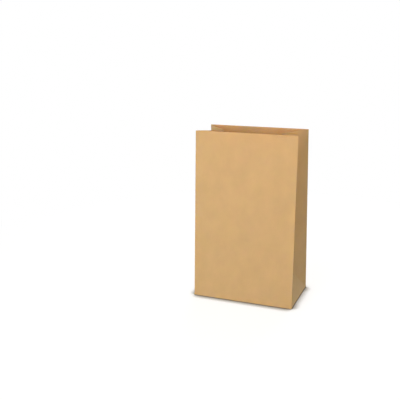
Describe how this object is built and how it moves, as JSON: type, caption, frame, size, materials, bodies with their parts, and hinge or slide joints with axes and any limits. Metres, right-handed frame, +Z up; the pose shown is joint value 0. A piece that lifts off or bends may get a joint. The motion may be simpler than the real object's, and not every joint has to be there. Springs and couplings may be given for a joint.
{
  "type": "paper bag",
  "caption": "Brown kraft paper bag standing open on a flat folded bottom, with side gussets folded inward, a lapped back seam and a straight cut mouth.",
  "frame": {"origin": "middle of the bottom, on the surface that the bag stands on", "axes": "+Z up to the mouth, -Y out of the plain front panel, +Y out of the back panel with the seam, +X along the bag's width"},
  "size_m": [0.15, 0.088, 0.2476],
  "materials": {
    "kraft_paper": "matte"
  },
  "bodies": {
    "root": {"lunch_bag": "kraft_paper"}
  },
  "joints": []
}
